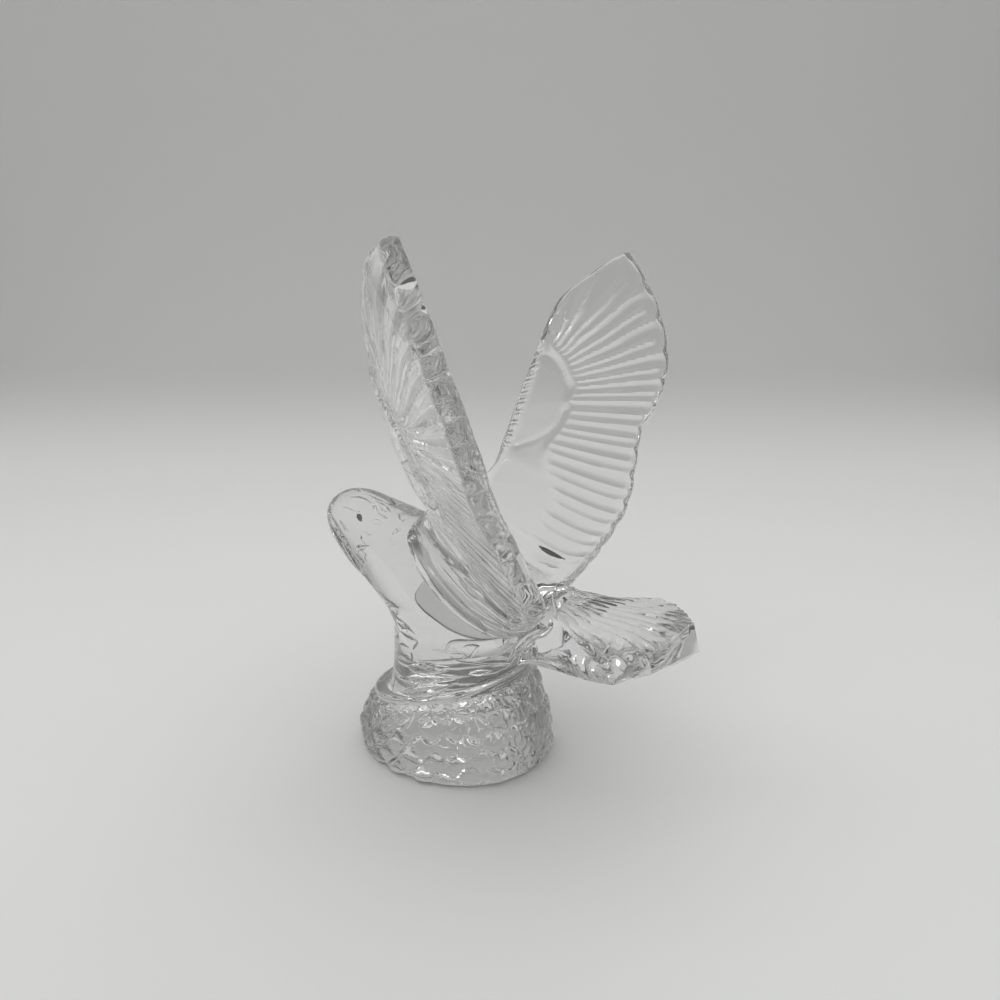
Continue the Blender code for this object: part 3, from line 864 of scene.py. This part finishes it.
def bevel(base, name):
    # a wedge between two lines on the surface, deepest at the lower one, taken off both flanks
    depth, upperPixels, lowerPixels = bevels[name]
    share = np.linspace(0, 1, bevels["rings"] + 1)
    skin = skinOf(base)
    upper, upperOut = layOn(skin, upperPixels, share)
    lower, lowerOut = layOn(skin, lowerPixels, share)
    away = unit(upperOut + lowerOut) * bevels["clear"]
    deep = depth * np.sin(math.pi * share)[:, None] ** bevels["endCurve"]
    rings = np.stack((upper, upper + away, lower + away, lower - lowerOut * deep, upper), axis=1)
    cutter = latticePiece(name, rings)
    # its faces are marked satin, which also darkens them with painted shade
    satinShadeCuts.append((skinOf(cutter), bevels["satinAndShade"]))
    return melt(base, [cutter, otherSide(cutter)], "DIFFERENCE")


def markSatinAndShade(piece):
    # how satin each face is, which also sets its painted shade: 0 on polished faces, more on those that a
    # satin cutter left
    satinAndShade = piece.data.attributes.new("satinAndShade", "FLOAT", "FACE")
    reach = crystal["satinShadeReach"] * mm
    for face in piece.data.polygons:
        leftCentre = (abs(face.center.x), face.center.y, face.center.z)
        found = [amount for skin, amount in satinShadeCuts if skin.find_nearest(leftCentre, reach)[0]]
        satinAndShade.data[face.index].value = max(found, default=0.0)


# clear crystal, satin and darkened with painted shade where a cutter left it so, with faint waves and a
# faint grey in its depth

crystal = {
    "colour": (0.985, 0.99, 0.988, 1.0),
    "ior": 1.545,
    # painted shade: satin faces are tinted towards this near black
    "paintedShadeColour": (0.06, 0.06, 0.06, 1.0),
    "satinRoughness": 0.3,
    "fullSatin": 0.1,
    "satinShadeReach": 0.02,
    "smoothAngle": 38,
    "waveScale": 110.0,
    "waveDetail": 1.0,
    "waveStrength": 0.25,
    "waveHeight": 0.0002,
    "absorbed": (0.5, 0.5, 0.485, 1.0),
    "density": 4.5,
}


def addSatinAndShade(nodes, links, shader):
    # roughness and painted shade from the satin value of each face
    satinAndShade = nodes.new("ShaderNodeAttribute")
    satinAndShade.attribute_name = "satinAndShade"
    rough = nodes.new("ShaderNodeMapRange")
    rough.inputs["From Max"].default_value = crystal["fullSatin"]
    rough.inputs["To Max"].default_value = crystal["satinRoughness"]
    links.new(satinAndShade.outputs["Fac"], rough.inputs["Value"])
    links.new(rough.outputs["Result"], shader.inputs["Roughness"])
    # painted shade: the base colour turns towards near black on satin faces
    paintedShadeTint = nodes.new("ShaderNodeMix")
    paintedShadeTint.data_type = "RGBA"
    paintedShadeTint.inputs["A"].default_value = crystal["colour"]
    paintedShadeTint.inputs["B"].default_value = crystal["paintedShadeColour"]
    links.new(satinAndShade.outputs["Fac"], paintedShadeTint.inputs["Factor"])
    links.new(paintedShadeTint.outputs["Result"], shader.inputs["Base Color"])


def addWaves(nodes, links, shader):
    # the faint unevenness of a polished casting
    place = nodes.new("ShaderNodeTexCoord")
    wave = nodes.new("ShaderNodeTexNoise")
    wave.inputs["Scale"].default_value = crystal["waveScale"]
    wave.inputs["Detail"].default_value = crystal["waveDetail"]
    swell = nodes.new("ShaderNodeBump")
    swell.inputs["Strength"].default_value = crystal["waveStrength"]
    swell.inputs["Distance"].default_value = crystal["waveHeight"]
    links.new(place.outputs["Object"], wave.inputs["Vector"])
    links.new(wave.outputs["Fac"], swell.inputs["Height"])
    links.new(swell.outputs["Normal"], shader.inputs["Normal"])


def crystalMaterial():
    material = bpy.data.materials.new("clearCrystal")
    material.use_nodes = True
    nodes, links = material.node_tree.nodes, material.node_tree.links
    shader = nodes["Principled BSDF"]
    shader.inputs["Metallic"].default_value = 0.0
    shader.inputs["Transmission Weight"].default_value = 1.0
    shader.inputs["IOR"].default_value = crystal["ior"]
    addSatinAndShade(nodes, links, shader)
    addWaves(nodes, links, shader)
    depth = nodes.new("ShaderNodeVolumeAbsorption")
    depth.inputs["Color"].default_value = crystal["absorbed"]
    depth.inputs["Density"].default_value = crystal["density"]
    links.new(depth.outputs["Volume"], nodes["Material Output"].inputs["Volume"])
    return material


def makeEagle():
    leftWing = work(work(makeWing(), "wingNotch"), "wingCut")
    leftToes = [makeToe(*ends, toes["halfWidth"]) for ends in toes["each"]]
    # slimmer on the right, where they show only through the glass
    rightToes = [makeToe(*np.array(ends) * (-1, 1, 1), toes["farHalfWidth"]) for ends in toes["each"]]
    eagle = work(work(work(makeBody(), "headRaised"), "headCut"), "headNotch")
    melt(eagle, [makeRock(), makeTail()])
    bevel(eagle, "flankLens")
    melt(eagle, leftToes + rightToes)
    work(work(eagle, "bodyRaised"), "bodyCut")
    melt(eagle, [leftWing, otherSide(leftWing)])
    bevel(eagle, "rootBand")
    markSatinAndShade(eagle)
    eagle.name = eagle.data.name = "crystalEagle"
    eagle.data.materials.clear()
    eagle.data.materials.append(crystalMaterial())
    bpy.ops.object.select_all(action="DESELECT")
    eagle.select_set(True)
    bpy.context.view_layer.objects.active = eagle
    bpy.ops.object.shade_smooth_by_angle(angle=math.radians(crystal["smoothAngle"]))
    return eagle


eagle = makeEagle()
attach(eagle, "root")
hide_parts("eagle_figurine")
print("crystal eagle made:", len(eagle.data.polygons), "faces")


# the sweep, the light and the camera

studio = {
    "sweepHalf": 0.42,
    "sweepBack": 0.29,
    "sweepRadius": 0.07,
    "sweepTop": 0.36,
    "sweepFront": 0.13,
    "floorPaper": (0.84, 0.84, 0.83, 1.0),
    # painted shade: the wall paper is darker than the floor paper, standing for the lesser light on the
    # wall
    "shadedWallPaper": (0.78, 0.78, 0.77, 1.0),
    "wallFrom": 0.004,
    "wallTo": 0.06,
    "air": (0.11, 0.11, 0.11, 1.0),
    "airStrength": 1.0,
    "airGap": 0.0003,
    "bounces": 40,
    "bendSteps": 15,
    "paperRoughness": 0.85,
    "paperShine": 0.2,
    "lamps": (  # name, place, target, size, power, seen in the glass
        ("ceiling", (0.1, -0.05, 1.0), (0.1, -0.05, 0.0), (2.6, 2.6), 10.2, False),
        ("ceilingCard", (0.0, 0.0, 0.95), (0.0, 0.0, 0.0), (2.0, 2.0), 6.6, True),
        ("topBox", (0.12, -0.2, 0.8), (0, 0, 0.0), (0.03, 0.35), 0.1, True),
        ("leftBox", (0.25, -0.85, 0.5), (0, 0, 0.08), (0.05, 0.4), 0.3, True),
        ("rightBox", (-0.05, 0.9, 0.5), (0, 0, 0.08), (0.05, 0.4), 0.3, True),
        ("backBox", (-0.31, -0.135, 0.55), (0, 0, 0.05), (0.4, 0.03), 0.09, True),
    ),
}


def paperMaterial():
    material = bpy.data.materials.new("sweepPaper")
    material.use_nodes = True
    shader = material.node_tree.nodes["Principled BSDF"]
    shader.inputs["Roughness"].default_value = studio["paperRoughness"]
    shader.inputs["Specular IOR Level"].default_value = studio["paperShine"]
    nodes, links = material.node_tree.nodes, material.node_tree.links
    place = nodes.new("ShaderNodeTexCoord")
    split = nodes.new("ShaderNodeSeparateXYZ")
    climb = nodes.new("ShaderNodeMapRange")
    climb.interpolation_type = "SMOOTHSTEP"
    climb.inputs["From Min"].default_value = studio["wallFrom"]
    climb.inputs["From Max"].default_value = studio["wallTo"]
    # painted shade: the paper darkens from the floor colour to the wall colour as it climbs
    paperAndShade = nodes.new("ShaderNodeMix")
    paperAndShade.data_type = "RGBA"
    paperAndShade.inputs["A"].default_value = studio["floorPaper"]
    paperAndShade.inputs["B"].default_value = studio["shadedWallPaper"]
    links.new(place.outputs["Object"], split.inputs["Vector"])
    links.new(split.outputs["Z"], climb.inputs["Value"])
    links.new(climb.outputs["Result"], paperAndShade.inputs["Factor"])
    links.new(paperAndShade.outputs["Result"], shader.inputs["Base Color"])
    return material


def makeSweep():
    # a floor that curves up into a wall behind the eagle, square to the camera
    turn = math.radians(view["turn"])
    ahead = np.array((-math.sin(turn), math.cos(turn)))
    across = np.array((math.cos(turn), math.sin(turn)))
    radius = studio["sweepRadius"]
    profile = [(-studio["sweepFront"], 0.0), (studio["sweepBack"], 0.0)]
    for bend in np.linspace(0, math.pi / 2, studio["bendSteps"] + 1)[1:]:
        profile.append((studio["sweepBack"] + radius * math.sin(bend), radius * (1 - math.cos(bend))))
    profile.append((studio["sweepBack"] + radius, studio["sweepTop"]))
    bpy.ops.object.select_all(action="DESELECT")
    bpy.ops.mesh.primitive_grid_add(x_subdivisions=1, y_subdivisions=len(profile) - 1, size=1)
    sweep = bpy.context.object
    sweep.name = sweep.data.name = "sweep"
    for vertex in sweep.data.vertices:
        step = int(round((vertex.co.y + 0.5) * (len(profile) - 1)))
        side = math.copysign(studio["sweepHalf"], vertex.co.x)
        plan = ahead * profile[step][0] + across * side
        vertex.co = (plan[0], plan[1], profile[step][1] - studio["airGap"])
    sweep.data.materials.append(paperMaterial())
    bpy.ops.object.shade_smooth()


def softbox(name, place, target, size, power, inGlass):
    # an area lamp that turns its face to the target and leaves no mirror image
    bpy.ops.object.light_add(type="AREA", location=place)
    lamp = bpy.context.object
    lamp.name = name
    lamp.data.shape = "RECTANGLE"
    lamp.data.size, lamp.data.size_y = size
    lamp.data.energy = power
    lamp.visible_transmission = inGlass
    lamp.visible_glossy = False
    way = np.array(target) - np.array(place)
    flat = math.hypot(way[0], way[1])
    lamp.rotation_euler = (math.atan2(flat, -way[2]), 0, math.atan2(way[1], way[0]) - math.pi / 2)
    return lamp


def makeStudio():
    makeSweep()
    for lamp in studio["lamps"]:
        softbox(*lamp)
    world = bpy.data.worlds.new("studioAir")
    world.use_nodes = True
    world.node_tree.nodes["Background"].inputs["Color"].default_value = studio["air"]
    world.node_tree.nodes["Background"].inputs["Strength"].default_value = studio["airStrength"]
    bpy.context.scene.world = world
    bpy.context.scene.view_settings.view_transform = "Standard"
    light = bpy.context.scene.cycles
    light.max_bounces = light.transmission_bounces = light.glossy_bounces = studio["bounces"]
    bpy.ops.object.camera_add(location=view["place"],
                              rotation=(math.radians(view["tilt"]), 0, math.radians(view["turn"])))
    camera = bpy.context.object
    camera.data.lens = view["lens"]
    camera.data.clip_start = view["nearest"]
    bpy.context.scene.camera = camera


makeStudio()
print("studio made")
